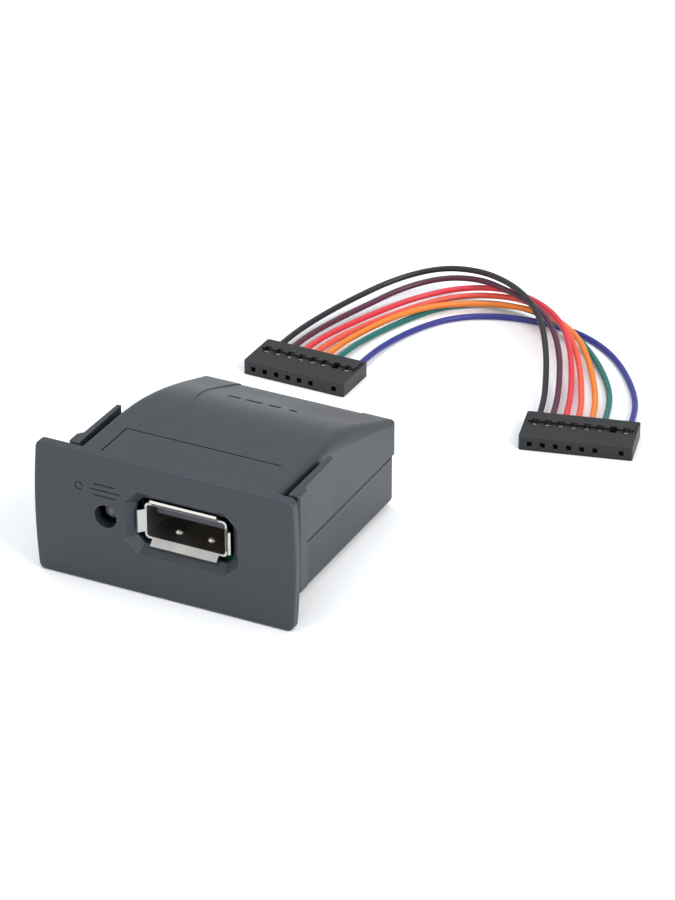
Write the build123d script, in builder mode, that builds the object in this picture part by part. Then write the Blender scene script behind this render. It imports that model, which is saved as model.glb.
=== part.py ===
from build123d import *
import math
import os

# Snap-in USB panel module with its eight-way jumper lead.  Millimetres, +Z up,
# front face towards -Y, origin under the middle of the module.

# ---------------------------------------------------------------- driving sizes
bezel_width = 40.8
bezel_height = 20.9
bezel_thickness = 1.6
bezel_end_bow = 0.5
body_left = -14.2
body_right = 17.4
body_depth = 39.2
body_underside = 0.8
parting_height = 8.3
wall = 1.5
front = -body_depth / 2
rear = front + body_depth
body_middle = (body_left + body_right) / 2
body_width = body_right - body_left
seam_groove = 0.25
engraving = 0.18
oval_depth = 0.15
bar_depth = 0.2

# height of the roof and radius of its long edges, by distance behind the bezel face
roof_front = [(bezel_thickness, 20.6, 0.8), (14.0, 20.5, 1.0)]
roof_rear = [(14.0, 20.5, 1.0), (17.0, 20.45, 1.3), (20.5, 20.2, 1.8), (24.5, 19.5, 2.2),
             (29.5, 17.9, 1.8), (34.5, 16.0, 1.2), (body_depth, 14.2, 0.6)]

socket_x = 2.9
socket_z = 11.5
socket_width = 13.1
socket_height = 5.72
sheet = 0.3
socket_front = 1.5
socket_length = 13.2
contact_offsets = (-3.5, -1.0, 1.0, 3.5)
window_width = 15.4
window_height = 7.4
window_bevel = 1.35

lamp_x = -9.2
lamp_z = 11.3
lamp_hole = 3.6
lamp_diameter = 3.0

board_top = 8.0
board_thickness = 1.6
board_bottom = board_top - board_thickness
board_left = -12.4
board_right = 15.6
board_front = 3.2
board_rear = 37.4

pin_pitch = 2.0
ways = 8
pin_height = 9.35
pin_size = 0.5

arm_gap = 0.9
arm_face = 1.9
catch_proud = 2.6
arm_rear = 15.8
arm_root = 14.0
arm_tip = 3.3
catch_rear = 6.1
arm_top = 20.2
arm_bottom = 11.2
catch_bottom = 4.6

wire_diameter = 0.95
housing_width = 17.4
housing_depth = 8.2
housing_height = 2.3
cavity_side = 1.5
wire_entry = 2.0
contact_front = 1.3
contact_length = 4.9


# ---------------------------------------------------------------- helpers
def upright(distance):
    """Vertical plane facing -Y, this far behind the bezel face, drawn in X and Z."""
    return Plane(origin=(0, front + distance, 0), x_dir=(1, 0, 0), z_dir=(0, -1, 0))


def save(part, name):
    """Label a finished piece and write its STEP file."""
    part.label = name
    export_step(part, f"parts/{name}.step")


def roof_section(distance, roof, radius, inset=0.0):
    """Cross-section of the upper case: a box with two rounded top corners."""
    left = body_left + inset
    right = body_right - inset
    top = roof - inset
    turn = max(radius - inset, 0.4)
    with BuildSketch(upright(distance)) as section:
        with BuildLine():
            Line((left, parting_height), (right, parting_height))
            Line((right, parting_height), (right, top - turn))
            RadiusArc((right, top - turn), (right - turn, top), -turn)
            Line((right - turn, top), (left + turn, top))
            RadiusArc((left + turn, top), (left, top - turn), -turn)
            Line((left, top - turn), (left, parting_height))
        make_face()
    return section.sketch


def case_block(inset=0.0):
    """Solid upper case, or its inside when inset by the wall."""
    with BuildPart() as block:
        loft([roof_section(*station, inset) for station in roof_front], ruled=True)
        loft([roof_section(*station, inset) for station in roof_rear])
    return block.part


def slab(x_low, x_high, y_low, y_high, z_low, z_high):
    """A plain box between limits, with Y measured behind the bezel face."""
    middle = ((x_low + x_high) / 2, front + (y_low + y_high) / 2, (z_low + z_high) / 2)
    return Pos(*middle) * Box(x_high - x_low, y_high - y_low, z_high - z_low, mode=Mode.PRIVATE)


os.makedirs("parts", exist_ok=True)

# ---------------------------------------------------------------- lower shell
header_opening = slab(body_middle - 9.1, body_middle + 9.1, body_depth - 2, body_depth + 1, 7.95, 10.8)
post_places = [(board_left + 2.2, board_front + 3), (board_right - 2.2, board_front + 3),
               (board_left + 2.2, board_rear - 9), (board_right - 2.2, board_rear - 9)]

with BuildPart() as lower_shell:
    with BuildSketch(upright(0)):
        with BuildLine():
            half = bezel_width / 2
            middle_height = bezel_height / 2
            Line((-half, 0), (half, 0))
            ThreePointArc((half, 0), (half + bezel_end_bow, middle_height), (half, bezel_height))
            Line((half, bezel_height), (-half, bezel_height))
            ThreePointArc((-half, bezel_height), (-half - bezel_end_bow, middle_height), (-half, 0))
        make_face()
    extrude(amount=-bezel_thickness)
    corners = lower_shell.edges().filter_by(Axis.Y)
    fillet(corners, 1.0)
    rim = lower_shell.faces().sort_by(Axis.Y)[0].edges()
    fillet(rim, 0.45)
    # tray behind the bezel
    with BuildSketch(Plane.XY.offset(body_underside)):
        with Locations((body_middle, front + (bezel_thickness + body_depth) / 2)):
            Rectangle(body_width, body_depth - bezel_thickness)
    extrude(amount=parting_height - body_underside)
    tray_rear = lower_shell.edges().filter_by(Axis.Z).group_by(Axis.Y)[-1]
    fillet(tray_rear, 1.0)
    tray_under = lower_shell.faces().filter_by(Plane.XY).sort_by(Axis.Z).filter_by(
        lambda face: face.area > 500)[0]
    fillet(tray_under.edges().filter_by(lambda edge: edge.center().Y > front + 3), 0.8)
    with BuildSketch(Plane.XY.offset(body_underside + wall)):
        with Locations((body_middle, front + (bezel_thickness + 0.6 + body_depth - wall) / 2)):
            RectangleRounded(body_width - 2 * wall, body_depth - wall - bezel_thickness - 0.6, 0.6)
    extrude(amount=parting_height, mode=Mode.SUBTRACT)
    # socket window: a straight opening that flares to the front with cut corners
    with BuildSketch(upright(0)):
        with Locations((socket_x, socket_z)):
            opening = Rectangle(window_width + 2 * window_bevel, window_height + 2 * window_bevel)
            chamfer(opening.vertices(), 2.1)
    with BuildSketch(upright(window_bevel)):
        with Locations((socket_x, socket_z)):
            throat = Rectangle(window_width, window_height)
            chamfer(throat.vertices(), 1.1)
    loft(mode=Mode.SUBTRACT)
    with BuildSketch(upright(window_bevel)):
        with Locations((socket_x, socket_z)):
            throat = Rectangle(window_width, window_height)
            chamfer(throat.vertices(), 1.1)
    extrude(amount=-2, mode=Mode.SUBTRACT)
    # lamp hole
    with BuildSketch(upright(0)):
        with Locations((lamp_x, lamp_z)):
            Circle(lamp_hole / 2)
    extrude(amount=-3, mode=Mode.SUBTRACT)
    # plain engraved mark over the lamp: a ring and three bars
    with BuildSketch(upright(0)):
        with Locations((-13.4, 15.4)):
            Circle(0.75)
            Circle(0.4, mode=Mode.SUBTRACT)
        for row, length in enumerate((3.6, 4.8, 3.6)):
            with Locations((-9.2, 14.5 + 0.9 * row)):
                SlotOverall(length, 0.35)
    extrude(amount=-engraving, mode=Mode.SUBTRACT)
    # board posts and pegs
    for x, y in post_places:
        with BuildSketch(Plane.XY.offset(body_underside + wall)):
            with Locations((x, front + y)):
                Circle(1.6)
        extrude(amount=board_bottom - body_underside - wall)
        with BuildSketch(Plane.XY.offset(board_bottom)):
            with Locations((x, front + y)):
                Circle(0.7)
        extrude(amount=board_thickness)
    add(header_opening, mode=Mode.SUBTRACT)
save(lower_shell.part, "lower_shell")

# ---------------------------------------------------------------- upper shell
lowered_roof = Pos(0, 0, -oval_depth) * case_block()
panel_oval = Pos(2.2, front + 33, 10) * extrude(Ellipse(10.6, 19.5), 14)
oval_recess = panel_oval - lowered_roof
bar_floor = Pos(0, 0, -oval_depth - bar_depth) * case_block()
bar_row = [Pos(x, front + 29, 12) * extrude(SlotOverall(length, 0.9), 12)
           for x, length in ((-3.6, 2.2), (-0.4, 3.0), (3.0, 2.2), (6.0, 1.4))]

with BuildPart() as upper_shell:
    add(case_block())
    add(case_block(wall), mode=Mode.SUBTRACT)
    # rear wall; the front end is closed by the bezel
    with BuildSketch(upright(body_depth)):
        with BuildLine():
            Polyline((body_left, parting_height), (body_right, parting_height),
                     (body_right, 13.5), (body_left, 13.5), close=True)
        make_face()
    extrude(amount=wall)
    add(header_opening, mode=Mode.SUBTRACT)
    # flexing arms are rooted on a boss on each side wall
    for side, face in ((1, body_right), (-1, body_left)):
        boss = slab(0, arm_gap, arm_root, arm_rear, arm_bottom + 0.3, 18.6)
        shift = face if side > 0 else face - arm_gap
        add(Pos(shift, 0, 0) * boss)
    # shadow line along the joint with the tray
    with BuildSketch(Plane.XY.offset(parting_height)):
        with Locations((body_middle, 0)):
            Rectangle(body_width + 1, body_depth + 1)
            Rectangle(body_width - 2 * seam_groove, body_depth - 2 * seam_groove, mode=Mode.SUBTRACT)
    extrude(amount=seam_groove, mode=Mode.SUBTRACT)
    # engraved line round the front of the roof
    add(slab(-10.95, -10.6, 1.8, 9.6, 20.3, 22), mode=Mode.SUBTRACT)
    add(slab(-10.95, 14.0, 9.4, 9.7, 20.3, 22), mode=Mode.SUBTRACT)
    add(oval_recess, mode=Mode.SUBTRACT)
    for bar in bar_row:
        add(bar - bar_floor, mode=Mode.SUBTRACT)
save(upper_shell.part, "upper_shell")


# ---------------------------------------------------------------- latch arms
def latch_arm():
    """Spring arm beside the right wall, drawn with X measured from that wall."""
    with BuildPart() as arm:
        with BuildSketch(Plane.XY.offset(catch_bottom)):
            with BuildLine():
                Polyline((arm_gap, front + arm_tip),
                         (catch_proud - 0.3, front + arm_tip),
                         (catch_proud, front + arm_tip + 0.3),
                         (catch_proud, front + catch_rear - 0.4),
                         (arm_face, front + catch_rear + 0.4),
                         (arm_face - 0.2, front + arm_rear - 0.4),
                         (arm_face - 0.5, front + arm_rear),
                         (arm_gap, front + arm_rear), close=True)
            make_face()
        extrude(amount=arm_top - catch_bottom)
        add(slab(0, 4, catch_rear + 0.4, arm_rear + 1, catch_bottom - 1, arm_bottom), mode=Mode.SUBTRACT)
        upper = arm.faces().sort_by(Axis.Z)[-1].edges()
        fillet(upper.filter_by(lambda edge: edge.center().X > arm_face - 0.3), 0.25)
    return arm.part


right_arm = Pos(body_right, 0, 0) * latch_arm()
save(right_arm, "right_latch_arm")
left_arm = mirror(latch_arm(), about=Plane.YZ)
save(Pos(body_left, 0, 0) * left_arm, "left_latch_arm")

# ---------------------------------------------------------------- circuit board
header_tail_y = 29.4
crystal_place = (-6.6, 25.6)
with BuildPart() as circuit_board:
    with BuildSketch(Plane.XY.offset(board_bottom)):
        board_middle = ((board_left + board_right) / 2, front + (board_front + board_rear) / 2)
        with Locations(board_middle):
            Rectangle(board_right - board_left, board_rear - board_front)
        for x, y in post_places:
            with Locations((x, front + y)):
                Circle(0.8, mode=Mode.SUBTRACT)
        tab_offset = (socket_width - sheet) / 2
        with Locations((socket_x - tab_offset, front + 9), (socket_x + tab_offset, front + 9)):
            Rectangle(0.6, 2.6, mode=Mode.SUBTRACT)
        with Locations([(socket_x + offset, front + 15.25) for offset in contact_offsets]):
            Circle(0.5, mode=Mode.SUBTRACT)
        with Locations((lamp_x, front + 9)):
            with GridLocations(1.27, 0, 3, 1):
                Circle(0.4, mode=Mode.SUBTRACT)
        with Locations((body_middle, front + header_tail_y)):
            with GridLocations(pin_pitch, 0, ways, 1):
                Circle(0.42, mode=Mode.SUBTRACT)
        with Locations((crystal_place[0], front + crystal_place[1])):
            with GridLocations(4.9, 0, 2, 1):
                Circle(0.35, mode=Mode.SUBTRACT)
    extrude(amount=board_thickness)
save(circuit_board.part, "circuit_board")

# ---------------------------------------------------------------- USB socket
flare = 0.95


def flared_lip(turn, reach, span):
    """One turned-out lip of the socket shell, swung round the socket's middle."""
    mouth = front + socket_front
    with BuildPart() as lip:
        with BuildSketch(Plane.YZ):
            with BuildLine():
                Polyline((mouth + 0.02, reach - sheet), (mouth - flare, reach - sheet + flare),
                         (mouth - flare + 0.2, reach + flare), (mouth + 0.4, reach), close=True)
            make_face()
        extrude(amount=span / 2, both=True)
    return Pos(socket_x, 0, socket_z) * Rot(0, turn, 0) * lip.part


# four lips, clear of each other at the corners
lips = [flared_lip(0, socket_height / 2, 10.6), flared_lip(180, socket_height / 2, 10.6),
        flared_lip(90, socket_width / 2, 3.6), flared_lip(-90, socket_width / 2, 3.6)]

with BuildPart() as usb_shell:
    with BuildSketch(upright(socket_front)):
        with Locations((socket_x, socket_z)):
            RectangleRounded(socket_width, socket_height, 0.7)
            RectangleRounded(socket_width - 2 * sheet, socket_height - 2 * sheet, 0.5, mode=Mode.SUBTRACT)
    extrude(amount=-socket_length)
    for lip in lips:
        add(lip)
    # solder tabs through the board
    for offset in (-socket_width / 2, socket_width / 2 - sheet):
        add(slab(socket_x + offset, socket_x + offset + sheet, 8, 10, 5.2, socket_z))
    # inward contact springs, pressed from the floor of the shell
    for offset in (-2.6, 2.6):
        ball = Sphere(0.75, mode=Mode.PRIVATE)
        bump = Pos(socket_x + offset, front + 4.6, socket_z - socket_height / 2 + sheet) * ball
        floor_box = slab(-20, 20, 0, 12, socket_z - socket_height / 2 + 0.05, socket_z)
        add(Pos(0, 0, -0.2) * bump & floor_box)
save(usb_shell.part, "usb_shell")


def contact_strip(offset, spare=0.0):
    """One socket contact: under the tongue, back through the body, down to the board."""
    x = socket_x + offset
    side = 0.5 + spare
    under = socket_z + 0.2
    forward = slab(x - side, x + side, 4.2 - spare, 15.4, under - 0.3 - spare, under + spare)
    tail = slab(x - 0.3 - spare, x + 0.3 + spare, 15.1, 15.4 + spare, board_top - 2.6, under + spare)
    return forward + tail


with BuildPart() as usb_insulator:
    add(slab(socket_x - 5.55, socket_x + 5.55, 3.4, 10.5, socket_z + 0.2, socket_z + 2.04))
    add(slab(socket_x - 6.2, socket_x + 6.2, 10.2, 14.9, socket_z - 2.5, socket_z + 2.5))
    fillet(usb_insulator.faces().sort_by(Axis.Y)[-1].edges().filter_by(Axis.X), 0.5)
    fillet(usb_insulator.edges().filter_by(Axis.Y).filter_by(
        lambda edge: abs(edge.center().X - socket_x) > 6), 0.55)
    tongue_front = usb_insulator.edges().filter_by(Axis.X).group_by(Axis.Y)[0]
    chamfer(tongue_front, 0.3)
    for offset in contact_offsets:
        add(contact_strip(offset, 0.02), mode=Mode.SUBTRACT)
save(usb_insulator.part, "usb_insulator")

usb_contacts = Compound(children=[contact_strip(offset) for offset in contact_offsets])
save(usb_contacts, "usb_contacts")

# ---------------------------------------------------------------- lamp
with BuildPart() as led_lens:
    with BuildSketch(upright(3.0)):
        with Locations((lamp_x, lamp_z)):
            Circle(lamp_diameter / 2)
    extrude(amount=-3.4)
    with BuildSketch(upright(6.0)):
        with Locations((lamp_x, lamp_z)):
            Circle(1.9)
    extrude(amount=-1.0)
    dome = Pos(lamp_x, front + 3.0, lamp_z) * Sphere(lamp_diameter / 2, mode=Mode.PRIVATE)
    add(dome & slab(lamp_x - 3, lamp_x + 3, 0, 3.1, 5, 18))
save(led_lens.part, "led_lens")

led_wires = []
for offset in (-1.27, 0, 1.27):
    x = lamp_x + offset
    outward = slab(x - 0.22, x + 0.22, 7.0, 9.22, lamp_z - 0.22, lamp_z + 0.22)
    downward = slab(x - 0.22, x + 0.22, 8.78, 9.22, board_bottom - 1, lamp_z + 0.22)
    led_wires.append(outward + downward)
save(Compound(children=led_wires), "led_leads")

# ---------------------------------------------------------------- board components
chip_x = 5.0
chip_y = 22.6
chip_side = 7.0
with BuildPart() as controller_chip:
    with BuildSketch(Plane.XY.offset(board_top + 0.1)):
        with Locations((chip_x, front + chip_y)):
            Rectangle(chip_side, chip_side)
    extrude(amount=1.4)
    chamfer(controller_chip.edges().filter_by(Axis.Z), 0.35)
    with BuildSketch(Plane.XY.offset(board_top + 1.5)):
        with Locations((chip_x - 2.6, front + chip_y - 2.6)):
            Circle(0.35)
    extrude(amount=-0.1, mode=Mode.SUBTRACT)
save(controller_chip.part, "controller_chip")

chip_leads = []
for turn in (0, 90, 180, 270):
    for place in GridLocations(0.5, 0, 12, 1):
        arm_lead = place * Pos(0, chip_side / 2 + 0.5, board_top + 0.45) * Box(0.22, 1.0, 0.15)
        foot = place * Pos(0, chip_side / 2 + 0.925, board_top + 0.26) * Box(0.22, 0.15, 0.52)
        chip_leads.append(Pos(chip_x, front + chip_y, 0) * Rot(0, 0, turn) * (arm_lead + foot))
save(Compound(children=chip_leads), "chip_leads")

with BuildPart() as crystal_can:
    with BuildSketch(Plane.XY.offset(board_top)):
        with Locations((crystal_place[0], front + crystal_place[1])):
            SlotOverall(11.2, 4.6)
    extrude(amount=0.5)
    with BuildSketch(Plane.XY.offset(board_top + 0.5)):
        with Locations((crystal_place[0], front + crystal_place[1])):
            SlotOverall(10.4, 3.8)
    extrude(amount=3.0)
    fillet(crystal_can.faces().sort_by(Axis.Z)[-1].edges(), 0.5)
    for offset in (-2.45, 2.45):
        pin = Cylinder(0.22, 2.6, mode=Mode.PRIVATE)
        add(Pos(crystal_place[0] + offset, front + crystal_place[1], board_top - 1.2) * pin)
save(crystal_can.part, "crystal_can")

with BuildPart() as voltage_regulator:
    add(slab(-10.6, -7.6, 14.0, 15.7, board_top + 0.1, board_top + 1.2))
    chamfer(voltage_regulator.edges().filter_by(Axis.X), 0.12)
    for x in (-10.05, -9.1, -8.15):
        add(slab(x - 0.2, x + 0.2, 13.4, 14.1, board_top, board_top + 0.15))
        add(slab(x - 0.2, x + 0.2, 13.85, 14.1, board_top, board_top + 0.6))
    add(slab(-9.3, -8.9, 15.6, 16.3, board_top, board_top + 0.15))
    add(slab(-9.3, -8.9, 15.6, 15.85, board_top, board_top + 0.6))
save(voltage_regulator.part, "voltage_regulator")

storage_capacitors = [slab(-11.4, -7.9, 18.2, 20.9, board_top, board_top + 1.9),
                      slab(11.2, 14.0, 22.6, 26.0, board_top, board_top + 1.9)]
save(Compound(children=storage_capacitors), "storage_capacitors")

capacitor_places = ((-6.0, 19.0), (-3.6, 19.0), (-1.4, 19.0), (10.6, 18.6), (10.6, 20.6), (-6.0, 21.2),
                    (-3.6, 21.2), (11.9, 18.6))
chip_capacitors = [slab(x, x + 0.8, y, y + 1.6, board_top, board_top + 0.8) for x, y in capacitor_places]
save(Compound(children=chip_capacitors), "chip_capacitors")

resistor_places = ((-5.4, 16.6), (-3.6, 16.6), (10.8, 15.6), (12.6, 15.6), (-10.4, 21.3), (-8.4, 21.3),
                   (13.2, 18.6), (14.4, 18.6))
chip_resistors = [slab(x, x + 0.8, y, y + 1.6, board_top, board_top + 0.45) for x, y in resistor_places]
save(Compound(children=chip_resistors), "chip_resistors")

# ---------------------------------------------------------------- pin header
pin_offsets = [pin_pitch * (way - (ways - 1) / 2) for way in range(ways)]


def header_pin(offset, spare=0.0):
    """Right-angled square pin: tail through the board, tip towards the rear opening."""
    x = body_middle + offset
    half_pin = pin_size / 2 + spare
    tail = slab(x - half_pin, x + half_pin, header_tail_y - half_pin, header_tail_y + half_pin,
                board_bottom - 1.2, pin_height + half_pin)
    tip = slab(x - half_pin, x + half_pin, header_tail_y - half_pin, 36.8, pin_height - half_pin,
               pin_height + half_pin)
    return tail + tip


with BuildPart() as header_base:
    add(slab(body_middle - 8, body_middle + 8, 28.4, 30.8, board_top, pin_height + 1.1))
    for offset in pin_offsets:
        add(header_pin(offset, 0.01), mode=Mode.SUBTRACT)
save(header_base.part, "header_base")
save(Compound(children=[header_pin(offset) for offset in pin_offsets]), "header_pins")

# ---------------------------------------------------------------- lead connectors
left_place = Location((-12.7, 65.7 + front, 0), (0, 0, -0.7))
right_place = Location((35.3, 64.7 + front, 0), (0, 0, 14.2))
wired_ways = (0, 1, 2, 3, 4, 5, 7)
cavity_height = housing_height / 2


def connector_housing():
    """Eight-way crimp housing, mating face on Y = 0 and wires leaving at the back."""
    with BuildPart() as housing:
        with BuildSketch(Plane.XY):
            with Locations((0, housing_depth / 2)):
                Rectangle(housing_width, housing_depth)
        extrude(amount=housing_height)
        chamfer(housing.edges().filter_by(Axis.Z), 0.25)
        # raised rear band that carries the latch windows
        with BuildSketch(Plane.XY.offset(housing_height)):
            with Locations((0, housing_depth - 1.9)):
                Rectangle(housing_width - 1.2, 2.6)
        extrude(amount=0.25)
        for way in wired_ways:
            x = pin_pitch * (way - (ways - 1) / 2)
            cavity = Box(cavity_side, housing_depth - 1.2 + 0.01, cavity_side, mode=Mode.PRIVATE)
            mouth = Box(0.8, 1.4, 0.8, mode=Mode.PRIVATE)
            add(Pos(x, housing_depth / 2 + 0.6, cavity_height) * cavity, mode=Mode.SUBTRACT)
            add(Pos(x, 0.6, cavity_height) * mouth, mode=Mode.SUBTRACT)
        for way in range(ways):
            x = pin_pitch * (way - (ways - 1) / 2)
            window = Box(1.1, 1.5, 1.2, mode=Mode.PRIVATE)
            add(Pos(x, housing_depth - 3.4, housing_height - 0.1) * window, mode=Mode.SUBTRACT)
    return housing.part


def crimp_contacts():
    """One sprung box contact in each wired way."""
    pieces = []
    for way in wired_ways:
        x = pin_pitch * (way - (ways - 1) / 2)
        middle = contact_front + contact_length / 2
        block = Pos(x, middle, cavity_height) * Box(1.3, contact_length, 1.2)
        bore = Pos(x, contact_front + 1.5, cavity_height) * Box(0.6, 3.2, 0.6)
        pieces.append(block - bore)
    return Compound(children=pieces)


for side, place in (("left", left_place), ("right", right_place)):
    save(place * connector_housing(), f"{side}_connector_housing")
    save(place * crimp_contacts(), f"{side}_crimp_contacts")

# ---------------------------------------------------------------- wires
# Points of each wire between the two connectors: X, distance behind the bezel face, Z.
wire_routes = {
    "black": [(-19.6, 78.0, 1.15), (-18.5, 85.4, 1.2), (-16.2, 93.0, 1.6), (-12.2, 101.0, 2.6), (-6.4, 105.2, 4.0),
              (0.4, 104.6, 5.4), (6.9, 101.2, 6.6), (12.9, 96.6, 7.1), (17.6, 91.6, 6.4), (20.9, 86.2, 4.3),
              (23.4, 80.6, 2.3), (25.5, 74.9, 1.3)],
    "brown": [(-17.5, 78.1, 1.1), (-16.0, 85.6, 1.0), (-13.6, 93.0, 1.1), (-10.3, 100.0, 1.9), (-5.2, 104.2, 3.0),
              (1.6, 103.8, 4.4), (8.2, 100.0, 5.5), (14.6, 96.2, 6.0), (19.4, 92.2, 5.3), (22.8, 87.2, 3.3),
              (25.3, 81.4, 1.7), (27.4, 75.4, 1.15)],
    "red": [(-15.4, 78.1, 1.1), (-13.6, 85.6, 0.9), (-10.8, 93.0, 0.9), (-7.4, 99.2, 1.2), (-2.2, 103.4, 2.1),
            (4.4, 104.0, 3.4), (10.4, 101.6, 4.4), (16.0, 98.2, 4.9), (20.5, 94.4, 4.2), (24.0, 89.0, 2.4),
            (26.9, 82.4, 1.2), (29.3, 75.9, 1.1)],
    "orange": [(-13.5, 78.1, 1.0), (-12.0, 85.4, 0.6), (-9.1, 92.4, 0.6), (-5.6, 98.8, 0.8), (-0.6, 103.0, 1.4),
               (5.8, 103.8, 2.3), (11.8, 101.6, 3.4), (17.2, 98.0, 3.8), (21.6, 94.4, 3.1), (25.5, 88.8, 1.5),
               (28.7, 82.2, 0.8), (31.2, 76.3, 1.0)],
    "yellow": [(-11.6, 78.1, 1.1), (-10.0, 84.8, 1.2), (-7.3, 91.2, 1.6), (-3.6, 97.0, 1.6), (1.4, 101.0, 1.3),
               (7.4, 102.4, 1.6), (13.2, 101.2, 2.4), (18.4, 98.6, 2.7), (22.8, 95.4, 2.1), (27.0, 89.8, 0.9),
               (30.6, 83.2, 0.6), (33.2, 76.9, 1.0)],
    "green": [(-9.7, 78.1, 1.0), (-8.6, 85.2, 0.6), (-6.4, 92.2, 0.5), (-3.2, 99.0, 0.5), (2.0, 103.2, 0.6),
              (8.2, 103.6, 1.1), (14.0, 101.6, 1.6), (19.4, 98.8, 1.6), (24.2, 95.2, 1.0), (28.8, 90.2, 0.6),
              (32.8, 83.9, 0.6), (35.2, 77.3, 1.0)],
    "blue": [(-5.7, 78.1, 1.0), (-5.2, 84.4, 0.6), (-3.4, 90.6, 0.5), (-0.2, 96.2, 0.5), (5.0, 99.8, 0.5),
             (11.2, 101.2, 0.5), (17.6, 101.2, 0.5), (23.4, 99.2, 0.5), (28.6, 95.4, 0.5), (33.2, 90.0, 0.5),
             (37.0, 84.0, 0.6), (39.2, 78.1, 1.0)],
}
entry_depth = housing_depth - wire_entry


def wire_points(colour, way):
    """The whole route of a wire, from one crimp contact to the other."""
    x = pin_pitch * (way - (ways - 1) / 2)
    start = (left_place * Location((x, entry_depth, cavity_height))).position
    end = (right_place * Location((x, entry_depth, cavity_height))).position
    between = [Vector(px, front + py, pz) for px, py, pz in wire_routes[colour]]
    return [start] + between + [end]


def corner_radii(points):
    """For each corner, the largest arc that its two runs leave room for."""
    radii = []
    for before, corner, after in zip(points, points[1:], points[2:]):
        run_in = corner - before
        run_out = after - corner
        half_turn = math.radians(run_in.get_angle(run_out)) / 2
        radii.append(0.45 * min(run_in.length, run_out.length) / math.tan(half_turn))
    return radii


for colour, way in zip(wire_routes, wired_ways):
    points = wire_points(colour, way)
    radii = corner_radii(points)
    with BuildPart() as wire:
        with BuildLine():
            path = FilletPolyline(*points, radius=radii)
        with BuildSketch(Plane(origin=path @ 0, z_dir=path % 0)):
            Circle(wire_diameter / 2)
        sweep()
    length = path.length
    tube_volume = math.pi * wire_diameter ** 2 / 4 * length
    print(f"{colour}: length {length:.1f}, least radius {min(radii):.1f}, volume ratio "
          f"{wire.part.volume / tube_volume:.4f}")
    save(wire.part, f"wire_{colour}")
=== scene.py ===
import math

import bmesh
import bpy
from bpy.props import FloatProperty, FloatVectorProperty, PointerProperty
from mathutils import Matrix, Vector


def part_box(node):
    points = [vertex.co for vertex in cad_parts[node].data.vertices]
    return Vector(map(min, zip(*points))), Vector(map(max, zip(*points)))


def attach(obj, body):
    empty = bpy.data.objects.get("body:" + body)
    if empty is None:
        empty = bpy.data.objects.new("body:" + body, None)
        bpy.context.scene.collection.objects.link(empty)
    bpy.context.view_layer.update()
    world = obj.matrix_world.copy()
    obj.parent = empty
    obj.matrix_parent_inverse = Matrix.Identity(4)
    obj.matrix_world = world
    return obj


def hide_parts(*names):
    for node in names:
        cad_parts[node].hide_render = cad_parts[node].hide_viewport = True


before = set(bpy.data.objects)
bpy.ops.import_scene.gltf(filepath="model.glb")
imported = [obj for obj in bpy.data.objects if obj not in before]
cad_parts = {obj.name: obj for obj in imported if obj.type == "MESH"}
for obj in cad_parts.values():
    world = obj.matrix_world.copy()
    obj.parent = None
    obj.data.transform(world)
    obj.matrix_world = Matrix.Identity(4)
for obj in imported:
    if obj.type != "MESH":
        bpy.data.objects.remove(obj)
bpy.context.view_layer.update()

bl_info = {
    "name": "Panel Module and Jumper Lead",
    "version": (1, 0, 0),
    "blender": (4, 5, 0),
    "location": "View3D > Sidebar > Panel Module",
    "description": "Finishes a snap-in USB panel module and its seven-wire lead",
    "category": "Add Mesh",
}

MM = 0.001
bezel_low, bezel_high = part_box("lower_shell")
FRONT = bezel_low[1]

# connector housings, and where the wires start inside them
HOUSING_DEPTH = 8.2 * MM
HOUSING_HEIGHT = 2.3 * MM
WAY_PITCH = 2.0 * MM
WAYS = 8
WIRED_WAYS = (0, 1, 2, 3, 4, 5, 7)
CAVITY_HEIGHT = HOUSING_HEIGHT / 2
WIRE_START = 6.2 * MM

# locking tangs of the contacts, which show in the housings' windows
TANG_SIZE = Vector((0.7, 1.1, 0.12)) * MM
TANG_BACK = 3.3 * MM
TANG_BELOW_TOP = 0.25 * MM
TANG_TILT = math.radians(-12)
TANG_EDGE = 0.03 * MM

# place of each mating face's middle, and its turn about Z
CONNECTOR_PLACES = {
    "left": (Matrix.Translation((-12.7 * MM, 65.7 * MM + FRONT, 0))
             @ Matrix.Rotation(math.radians(-0.7), 4, "Z")),
    "right": (Matrix.Translation((35.3 * MM, 64.7 * MM + FRONT, 0))
              @ Matrix.Rotation(math.radians(14.2), 4, "Z")),
}

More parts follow.
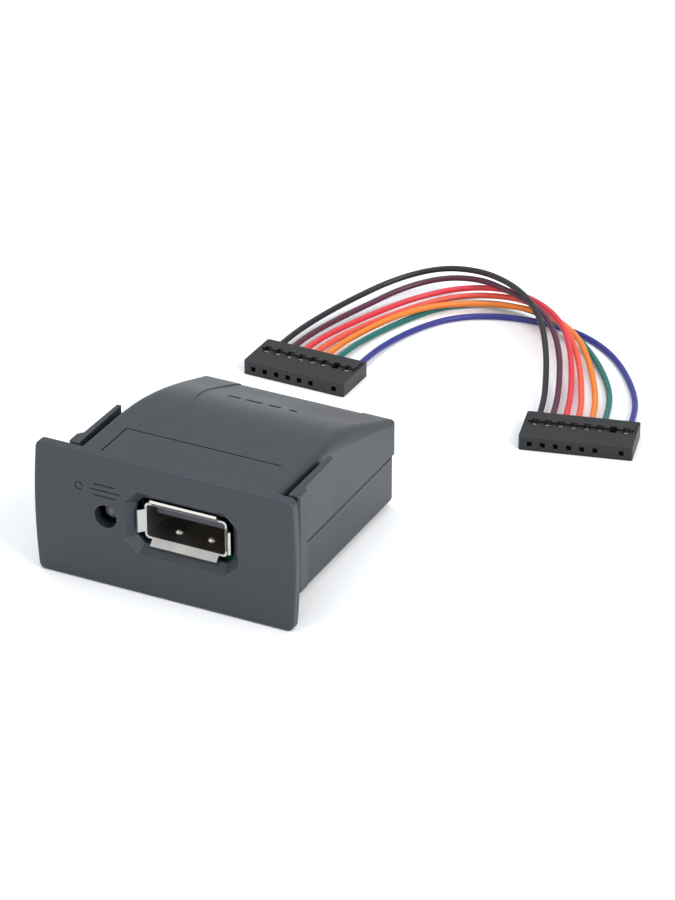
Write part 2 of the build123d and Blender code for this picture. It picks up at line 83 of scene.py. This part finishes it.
# X, distance behind the bezel face and Z of each wire's points, in millimetres
WIRE_ROUTES = {
    "black": [(-19.6, 78.0, 1.15), (-18.5, 85.4, 1.2), (-16.2, 93.0, 1.6), (-12.2, 101.0, 2.6),
              (-6.4, 105.2, 4.0), (0.4, 104.6, 5.4), (6.9, 101.2, 6.6), (12.9, 96.6, 7.1),
              (17.6, 91.6, 6.4), (20.9, 86.2, 4.3), (23.4, 80.6, 2.3), (25.5, 74.9, 1.3)],
    "brown": [(-17.5, 78.1, 1.1), (-16.0, 85.6, 1.0), (-13.6, 93.0, 1.1), (-10.3, 100.0, 1.9),
              (-5.2, 104.2, 3.0), (1.6, 103.8, 4.4), (8.2, 100.0, 5.5), (14.6, 96.2, 6.0),
              (19.4, 92.2, 5.3), (22.8, 87.2, 3.3), (25.3, 81.4, 1.7), (27.4, 75.4, 1.15)],
    "red": [(-15.4, 78.1, 1.1), (-13.6, 85.6, 0.9), (-10.8, 93.0, 0.9), (-7.4, 99.2, 1.2),
            (-2.2, 103.4, 2.1), (4.4, 104.0, 3.4), (10.4, 101.6, 4.4), (16.0, 98.2, 4.9),
            (20.5, 94.4, 4.2), (24.0, 89.0, 2.4), (26.9, 82.4, 1.2), (29.3, 75.9, 1.1)],
    "orange": [(-13.5, 78.1, 1.0), (-12.0, 85.4, 0.6), (-9.1, 92.4, 0.6), (-5.6, 98.8, 0.8),
               (-0.6, 103.0, 1.4), (5.8, 103.8, 2.3), (11.8, 101.6, 3.4), (17.2, 98.0, 3.8),
               (21.6, 94.4, 3.1), (25.5, 88.8, 1.5), (28.7, 82.2, 0.8), (31.2, 76.3, 1.0)],
    "yellow": [(-11.6, 78.1, 1.1), (-10.0, 84.8, 1.2), (-7.3, 91.2, 1.6), (-3.6, 97.0, 1.6),
               (1.4, 101.0, 1.3), (7.4, 102.4, 1.6), (13.2, 101.2, 2.4), (18.4, 98.6, 2.7),
               (22.8, 95.4, 2.1), (27.0, 89.8, 0.9), (30.6, 83.2, 0.6), (33.2, 76.9, 1.0)],
    "green": [(-9.7, 78.1, 1.0), (-8.6, 85.2, 0.6), (-6.4, 92.2, 0.5), (-3.2, 99.0, 0.5),
              (2.0, 103.2, 0.6), (8.2, 103.6, 1.1), (14.0, 101.6, 1.6), (19.4, 98.8, 1.6),
              (24.2, 95.2, 1.0), (28.8, 90.2, 0.6), (32.8, 83.9, 0.6), (35.2, 77.3, 1.0)],
    "blue": [(-5.7, 78.1, 1.0), (-5.2, 84.4, 0.6), (-3.4, 90.6, 0.5), (-0.2, 96.2, 0.5),
             (5.0, 99.8, 0.5), (11.2, 101.2, 0.5), (17.6, 101.2, 0.5), (23.4, 99.2, 0.5),
             (28.6, 95.4, 0.5), (33.2, 90.0, 0.5), (37.0, 84.0, 0.6), (39.2, 78.1, 1.0)],
}

FLOOR_HALF_WIDTH = 3.0
# name, place, width, share of the key light's power, colour
LIGHTS = (
    ("Key", (0.55, -0.15, 0.45), 0.35, 1.0, (1.0, 1.0, 1.0)),
    ("Top", (-0.1, 0.1, 0.8), 0.6, 0.9, (0.75, 0.86, 1.0)),
    ("Front fill", (-0.35, -0.7, 0.35), 0.5, 0.35, (1.0, 1.0, 1.0)),
)


# ---------------------------------------------------------------- settings
def colour_property(name, description, default):
    """A colour setting with three channels."""
    return FloatVectorProperty(name=name, description=description, default=default, size=3,
                               subtype="COLOR", min=0.0, max=1.0)


class CaseSettings(bpy.types.PropertyGroup):
    colour: colour_property("Case colour", "Moulded case and latch arms", (0.022, 0.029, 0.037))
    worn_colour: colour_property("Worn colour", "Where edges have rubbed paler", (0.07, 0.085, 0.10))
    roughness: FloatProperty(name="Roughness", description="Roughness of the case", default=0.42,
                             min=0.0, max=1.0, subtype="FACTOR")
    grain_depth: FloatProperty(name="Grain depth", description="Depth of the moulded grain",
                               default=0.00002, min=0.0, unit="LENGTH")


class LeadSettings(bpy.types.PropertyGroup):
    diameter: FloatProperty(name="Wire diameter", description="Diameter over the insulation",
                            default=0.95 * MM, min=0.5 * MM, max=2 * MM, unit="LENGTH")
    black: colour_property("Black wire", "Insulation", (0.008, 0.008, 0.011))
    brown: colour_property("Brown wire", "Insulation", (0.075, 0.012, 0.035))
    red: colour_property("Red wire", "Insulation", (0.62, 0.03, 0.05))
    orange: colour_property("Orange wire", "Insulation", (0.70, 0.08, 0.045))
    yellow: colour_property("Yellow wire", "Insulation", (0.74, 0.19, 0.015))
    green: colour_property("Green wire", "Insulation", (0.004, 0.13, 0.11))
    blue: colour_property("Blue wire", "Insulation", (0.02, 0.022, 0.20))


class StageSettings(bpy.types.PropertyGroup):
    floor_colour: colour_property("Floor colour", "Plain pale floor", (0.93, 0.93, 0.93))
    azimuth: FloatProperty(name="Azimuth", description="Camera's turn to the right of the front",
                           default=math.radians(26.37), subtype="ANGLE")
    elevation: FloatProperty(name="Elevation", description="Camera's height above the horizon",
                             default=math.radians(29.03), subtype="ANGLE")
    distance: FloatProperty(name="Distance", description="From the camera to its target",
                            default=0.61525, unit="LENGTH")
    lens: FloatProperty(name="Lens", description="Focal length in millimetres", default=180.3)
    key_power: FloatProperty(name="Key light", description="Power of the key light", default=3.2,
                             unit="POWER")


# ---------------------------------------------------------------- node groups
def start_group(name, inputs, outputs):
    """An empty shader node group with these sockets, and its two end nodes."""
    tree = bpy.data.node_groups.new(name, "ShaderNodeTree")
    for label, kind, value in inputs:
        socket = tree.interface.new_socket(label, in_out="INPUT", socket_type=kind)
        if value is not None:
            socket.default_value = value
    for label, kind in outputs:
        tree.interface.new_socket(label, in_out="OUTPUT", socket_type=kind)
    return tree, tree.nodes.new("NodeGroupInput"), tree.nodes.new("NodeGroupOutput")


def grain_group():
    """Fine eroded mould texture, and a slow mottle for colour and gloss."""
    tree, start, end = start_group(
        "Mould grain",
        [("Coordinates", "NodeSocketVector", None), ("Fine Scale", "NodeSocketFloat", 4000.0),
         ("Mottle Scale", "NodeSocketFloat", 160.0)],
        [("Height", "NodeSocketFloat"), ("Mottle", "NodeSocketFloat")])
    for output, scale, detail in (("Height", "Fine Scale", 2.0), ("Mottle", "Mottle Scale", 4.0)):
        noise = tree.nodes.new("ShaderNodeTexNoise")
        noise.inputs["Detail"].default_value = detail
        tree.links.new(start.outputs["Coordinates"], noise.inputs["Vector"])
        tree.links.new(start.outputs[scale], noise.inputs["Scale"])
        tree.links.new(noise.outputs["Fac"], end.inputs[output])
    return tree


def edge_group():
    """Mask of the outer edges, broken up as handling wears them."""
    tree, start, end = start_group(
        "Edge wear",
        [("Coordinates", "NodeSocketVector", None), ("Radius", "NodeSocketFloat", 0.0003)],
        [("Mask", "NodeSocketFloat")])
    bevel = tree.nodes.new("ShaderNodeBevel")
    bevel.samples = 6
    tree.links.new(start.outputs["Radius"], bevel.inputs["Radius"])
    geometry = tree.nodes.new("ShaderNodeNewGeometry")
    dot = tree.nodes.new("ShaderNodeVectorMath")
    dot.operation = "DOT_PRODUCT"
    tree.links.new(bevel.outputs["Normal"], dot.inputs[0])
    tree.links.new(geometry.outputs["Normal"], dot.inputs[1])
    spread = tree.nodes.new("ShaderNodeMapRange")
    spread.inputs["From Min"].default_value = 0.995
    spread.inputs["From Max"].default_value = 0.80
    tree.links.new(dot.outputs["Value"], spread.inputs["Value"])
    patch = tree.nodes.new("ShaderNodeTexNoise")
    patch.inputs["Scale"].default_value = 500.0
    tree.links.new(start.outputs["Coordinates"], patch.inputs["Vector"])
    product = tree.nodes.new("ShaderNodeMath")
    product.operation = "MULTIPLY"
    tree.links.new(spread.outputs["Result"], product.inputs[0])
    tree.links.new(patch.outputs["Fac"], product.inputs[1])
    tree.links.new(product.outputs["Value"], end.inputs["Mask"])
    return tree


GROUPS = {}


def shared_group(name):
    """The group of this name, built the first time it is asked for."""
    if name not in GROUPS:
        GROUPS[name] = {"grain": grain_group, "edge": edge_group}[name]()
    return GROUPS[name]


# ---------------------------------------------------------------- materials
def start_material(name, colour, roughness, metallic=0.0):
    """A material with its Principled shader and its Object coordinates."""
    material = bpy.data.materials.new(name)
    material.use_nodes = True
    shader = material.node_tree.nodes["Principled BSDF"]
    shader.inputs["Base Color"].default_value = (*colour, 1)
    shader.inputs["Roughness"].default_value = roughness
    shader.inputs["Metallic"].default_value = metallic
    coordinates = material.node_tree.nodes.new("ShaderNodeTexCoord").outputs["Object"]
    return material, shader, coordinates


def surfaced(name, colour, roughness, metallic=0.0, fine=4000.0, mottle=160.0, depth=0.00001,
             pale=None, tint=1.25, gloss_change=0.08, stretch=(1, 1, 1)):
    """A finish with grain, mottled colour and gloss, and paler edges where pale is given."""
    material, shader, coordinates = start_material(name, colour, roughness, metallic)
    tree = material.node_tree
    mapping = tree.nodes.new("ShaderNodeMapping")
    mapping.inputs["Scale"].default_value = stretch
    tree.links.new(coordinates, mapping.inputs["Vector"])
    grain = tree.nodes.new("ShaderNodeGroup")
    grain.node_tree = shared_group("grain")
    grain.inputs["Fine Scale"].default_value = fine
    grain.inputs["Mottle Scale"].default_value = mottle
    tree.links.new(mapping.outputs["Vector"], grain.inputs["Coordinates"])
    shade = tree.nodes.new("ShaderNodeMix")
    shade.data_type = "RGBA"
    shade.inputs["A"].default_value = (*(value / tint for value in colour), 1)
    shade.inputs["B"].default_value = (*(min(1, value * tint) for value in colour), 1)
    tree.links.new(grain.outputs["Mottle"], shade.inputs["Factor"])
    result = shade.outputs["Result"]
    if pale is not None:
        edge = tree.nodes.new("ShaderNodeGroup")
        edge.node_tree = shared_group("edge")
        tree.links.new(coordinates, edge.inputs["Coordinates"])
        worn = tree.nodes.new("ShaderNodeMix")
        worn.data_type = "RGBA"
        worn.inputs["B"].default_value = (*pale, 1)
        tree.links.new(edge.outputs["Mask"], worn.inputs["Factor"])
        tree.links.new(result, worn.inputs["A"])
        result = worn.outputs["Result"]
    tree.links.new(result, shader.inputs["Base Color"])
    gloss = tree.nodes.new("ShaderNodeMapRange")
    gloss.inputs["To Min"].default_value = max(0.02, roughness - gloss_change)
    gloss.inputs["To Max"].default_value = min(1.0, roughness + gloss_change)
    tree.links.new(grain.outputs["Mottle"], gloss.inputs["Value"])
    tree.links.new(gloss.outputs["Result"], shader.inputs["Roughness"])
    bump = tree.nodes.new("ShaderNodeBump")
    bump.inputs["Distance"].default_value = depth
    tree.links.new(grain.outputs["Height"], bump.inputs["Height"])
    tree.links.new(bump.outputs["Normal"], shader.inputs["Normal"])
    return material, shader


def paint(material, *nodes):
    """Give CAD nodes this material in every slot."""
    for name in nodes:
        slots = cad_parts[name].material_slots
        if not slots:
            raise RuntimeError(f"{name} has no material slot")
        for entry in slots:
            entry.material = material


# ---------------------------------------------------------------- mesh helpers
def finish_piece(mesh_data, name, material, body):
    """Turn a bmesh into a piece that rides on a body."""
    bmesh.ops.recalc_face_normals(mesh_data, faces=mesh_data.faces)
    mesh = bpy.data.meshes.new(name)
    mesh_data.to_mesh(mesh)
    mesh_data.free()
    piece = bpy.data.objects.new(name, mesh)
    bpy.context.scene.collection.objects.link(piece)
    mesh.materials.append(material)
    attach(piece, body)
    return piece


def add_plate(mesh_data, size, place, edge):
    """A small plate with rounded edges, put at a place."""
    made = bmesh.ops.create_cube(mesh_data, size=1.0)
    vertices = made["verts"]
    bmesh.ops.scale(mesh_data, vec=size, verts=vertices)
    edges = list({each for vertex in vertices for each in vertex.link_edges})
    rounded = bmesh.ops.bevel(mesh_data, geom=edges, offset=edge, affect="EDGES", segments=2,
                              profile=0.5, material=-1)
    moved = list({*rounded["verts"], *(vertex for vertex in vertices if vertex.is_valid)})
    bmesh.ops.transform(mesh_data, matrix=place, verts=moved)


def way_offset(way):
    """Where a way lies across its connector, from the middle."""
    return WAY_PITCH * (way - (WAYS - 1) / 2)


# ---------------------------------------------------------------- operators
class PANELMODULE_OT_stage(bpy.types.Operator):
    """Make the pale floor, the soft lights and the camera"""
    bl_idname = "panelmodule.stage"
    bl_label = "Stage"

    def execute(self, context):
        settings = context.scene.panel_stage
        scene = context.scene
        mesh_data = bmesh.new()
        bmesh.ops.create_grid(mesh_data, x_segments=1, y_segments=1, size=FLOOR_HALF_WIDTH)
        mesh = bpy.data.meshes.new("floor")
        mesh_data.to_mesh(mesh)
        mesh_data.free()
        floor = bpy.data.objects.new("floor", mesh)
        scene.collection.objects.link(floor)
        material, shader = surfaced("Floor paper", settings.floor_colour[:], 0.9, tint=1.01,
                                    mottle=4.0, fine=900.0)
        shader.inputs["Specular IOR Level"].default_value = 0.1
        mesh.materials.append(material)
        world = bpy.data.worlds.new("Studio")
        world.use_nodes = True
        background = world.node_tree.nodes["Background"]
        background.inputs["Color"].default_value = (1.0, 1.0, 1.0, 1)
        background.inputs["Strength"].default_value = 0.75
        scene.world = world
        scene.view_settings.view_transform = "Standard"
        target = Vector((27.52 * MM, FRONT, 31.18 * MM))
        for name, offset, size, share, colour in LIGHTS:
            light = bpy.data.lights.new(name, "AREA")
            light.size = size
            light.energy = settings.key_power * share
            light.color = colour
            lamp = bpy.data.objects.new(name, light)
            lamp.location = Vector(offset)
            lamp.rotation_euler = (-Vector(offset)).to_track_quat("-Z", "Y").to_euler()
            scene.collection.objects.link(lamp)
        camera_data = bpy.data.cameras.new("Camera")
        camera_data.lens = settings.lens
        camera_data.sensor_width = 36.0
        camera_data.sensor_fit = "AUTO"
        camera_data.clip_start = 0.01
        camera = bpy.data.objects.new("Camera", camera_data)
        level = math.cos(settings.elevation)
        offset = Vector((math.sin(settings.azimuth) * level, -math.cos(settings.azimuth) * level,
                         math.sin(settings.elevation)))
        camera.location = target + offset * settings.distance
        camera.rotation_euler = (-offset).to_track_quat("-Z", "Y").to_euler()
        scene.collection.objects.link(camera)
        scene.camera = camera
        return {"FINISHED"}


class PANELMODULE_OT_wires(bpy.types.Operator):
    """Lay the seven insulated wires between the two connectors"""
    bl_idname = "panelmodule.wires"
    bl_label = "Wires"

    def execute(self, context):
        settings = context.scene.panel_lead
        for colour, way in zip(WIRE_ROUTES, WIRED_WAYS):
            local = Vector((way_offset(way), WIRE_START, CAVITY_HEIGHT))
            start = CONNECTOR_PLACES["left"] @ local
            end = CONNECTOR_PLACES["right"] @ local
            between = [Vector((x * MM, FRONT + y * MM, z * MM)) for x, y, z in WIRE_ROUTES[colour]]
            points = [start, *between, end]
            curve = bpy.data.curves.new(f"lead_wire_{colour}", "CURVE")
            curve.dimensions = "3D"
            curve.bevel_depth = settings.diameter / 2
            curve.bevel_resolution = 6
            curve.use_fill_caps = True
            spline = curve.splines.new("NURBS")
            spline.points.add(len(points) - 1)
            for slot_point, point in zip(spline.points, points):
                slot_point.co = (*point, 1)
            spline.order_u = 3
            spline.use_endpoint_u = True
            spline.resolution_u = 12
            wire = bpy.data.objects.new(f"lead_wire_{colour}", curve)
            context.scene.collection.objects.link(wire)
            insulation, _ = surfaced(f"Insulation {colour}", getattr(settings, colour)[:], 0.45,
                                     fine=2200.0, mottle=260.0, depth=0.000006, tint=1.1)
            curve.materials.append(insulation)
            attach(wire, "lead")
            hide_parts(f"wire_{colour}")
        return {"FINISHED"}


class PANELMODULE_OT_case(bpy.types.Operator):
    """Finish the two shells and the latch arms as grained moulded plastic"""
    bl_idname = "panelmodule.case"
    bl_label = "Case"

    def execute(self, context):
        settings = context.scene.panel_case
        plastic, _ = surfaced("Case plastic", settings.colour[:], settings.roughness, fine=3200.0,
                              mottle=90.0, depth=settings.grain_depth,
                              pale=settings.worn_colour[:], tint=1.06)
        paint(plastic, "lower_shell", "upper_shell", "left_latch_arm", "right_latch_arm")
        return {"FINISHED"}


class PANELMODULE_OT_socket(bpy.types.Operator):
    """Finish the socket's shell, tongue and contacts"""
    bl_idname = "panelmodule.socket"
    bl_label = "Socket"

    def execute(self, context):
        plate, _ = surfaced("Tin plate", (0.55, 0.54, 0.52), 0.35, metallic=1.0, fine=2500.0,
                            mottle=300.0, depth=0.000004, stretch=(1, 0.15, 1))
        paint(plate, "usb_shell")
        tongue, _ = surfaced("Tongue plastic", (0.045, 0.043, 0.06), 0.45, fine=5000.0)
        paint(tongue, "usb_insulator")
        gold, _ = surfaced("Contact gold", (0.85, 0.60, 0.22), 0.25, metallic=1.0, depth=0.000003)
        paint(gold, "usb_contacts", "header_pins")
        return {"FINISHED"}


class PANELMODULE_OT_lamp(bpy.types.Operator):
    """Finish the lamp, and the tinned leads and crimped contacts"""
    bl_idname = "panelmodule.lamp"
    bl_label = "Lamp"

    def execute(self, context):
        epoxy, shader = surfaced("Lamp epoxy", (0.27, 0.24, 0.28), 0.22, mottle=700.0, fine=2000.0,
                                 depth=0.000003)
        shader.inputs["Transmission Weight"].default_value = 0.45
        shader.inputs["IOR"].default_value = 1.5
        paint(epoxy, "led_lens")
        metal, _ = surfaced("Tinned metal", (0.66, 0.65, 0.62), 0.32, metallic=1.0, depth=0.000004)
        paint(metal, "led_leads", "chip_leads", "left_crimp_contacts", "right_crimp_contacts")
        return {"FINISHED"}


class PANELMODULE_OT_board(bpy.types.Operator):
    """Finish the board and its components"""
    bl_idname = "panelmodule.board"
    bl_label = "Board"

    def execute(self, context):
        finishes = (
            ("Solder mask", (0.015, 0.16, 0.07), 0.35, 0.0, 900.0, 60.0, ["circuit_board"]),
            ("Chip epoxy", (0.018, 0.018, 0.02), 0.6, 0.0, 6000.0, 300.0,
             ["controller_chip", "voltage_regulator"]),
            ("Crystal can", (0.72, 0.72, 0.70), 0.28, 1.0, 3000.0, 400.0, ["crystal_can"]),
            ("Tantalum resin", (0.62, 0.38, 0.06), 0.5, 0.0, 5000.0, 400.0, ["storage_capacitors"]),
            ("Capacitor ceramic", (0.42, 0.30, 0.18), 0.5, 0.0, 5000.0, 900.0, ["chip_capacitors"]),
            ("Resistor film", (0.02, 0.02, 0.025), 0.35, 0.0, 5000.0, 900.0, ["chip_resistors"]),
        )
        for name, colour, roughness, metallic, fine, mottle, nodes in finishes:
            material, _ = surfaced(name, colour, roughness, metallic, fine=fine, mottle=mottle)
            paint(material, *nodes)
        return {"FINISHED"}


class PANELMODULE_OT_connectors(bpy.types.Operator):
    """Finish the connectors, and add the locking tangs that show in their windows"""
    bl_idname = "panelmodule.connectors"
    bl_label = "Connectors"

    def execute(self, context):
        nylon, _ = surfaced("Connector nylon", (0.004, 0.004, 0.005), 0.45, fine=4200.0,
                            mottle=240.0, depth=0.00001, pale=(0.02, 0.02, 0.023))
        paint(nylon, "left_connector_housing", "right_connector_housing", "header_base")
        tin, _ = surfaced("Tang tin", (0.74, 0.73, 0.70), 0.25, metallic=1.0, depth=0.000003)
        for side, place in CONNECTOR_PLACES.items():
            mesh_data = bmesh.new()
            for way in WIRED_WAYS:
                spot = Vector((way_offset(way), HOUSING_DEPTH - TANG_BACK,
                               HOUSING_HEIGHT - TANG_BELOW_TOP))
                tilt = Matrix.Rotation(TANG_TILT, 4, "X")
                add_plate(mesh_data, TANG_SIZE, place @ Matrix.Translation(spot) @ tilt, TANG_EDGE)
            finish_piece(mesh_data, f"{side}_contact_tangs", tin, "lead")
        return {"FINISHED"}


class PANELMODULE_PT_panel(bpy.types.Panel):
    """Lists the steps in order"""
    bl_label = "Panel Module"
    bl_idname = "PANELMODULE_PT_panel"
    bl_space_type = "VIEW_3D"
    bl_region_type = "UI"
    bl_category = "Panel Module"

    def draw(self, context):
        for step in STEPS:
            self.layout.operator(step.bl_idname)
        for group in ("panel_case", "panel_lead", "panel_stage"):
            settings = getattr(context.scene, group)
            for name in settings.__annotations__:
                self.layout.prop(settings, name)


STEPS = (PANELMODULE_OT_stage, PANELMODULE_OT_wires, PANELMODULE_OT_case, PANELMODULE_OT_socket,
         PANELMODULE_OT_lamp, PANELMODULE_OT_board, PANELMODULE_OT_connectors)
SETTINGS = {"panel_case": CaseSettings, "panel_lead": LeadSettings, "panel_stage": StageSettings}


def register():
    for group in (*SETTINGS.values(), *STEPS, PANELMODULE_PT_panel):
        bpy.utils.register_class(group)
    for name, group in SETTINGS.items():
        setattr(bpy.types.Scene, name, PointerProperty(type=group))


def unregister():
    for name in SETTINGS:
        delattr(bpy.types.Scene, name)
    for group in reversed((*SETTINGS.values(), *STEPS, PANELMODULE_PT_panel)):
        bpy.utils.unregister_class(group)


def main():
    register()
    bpy.ops.panelmodule.stage()
    bpy.ops.panelmodule.wires()
    bpy.ops.panelmodule.case()
    bpy.ops.panelmodule.socket()
    bpy.ops.panelmodule.lamp()
    bpy.ops.panelmodule.board()
    bpy.ops.panelmodule.connectors()


if __name__ == "__main__":
    main()
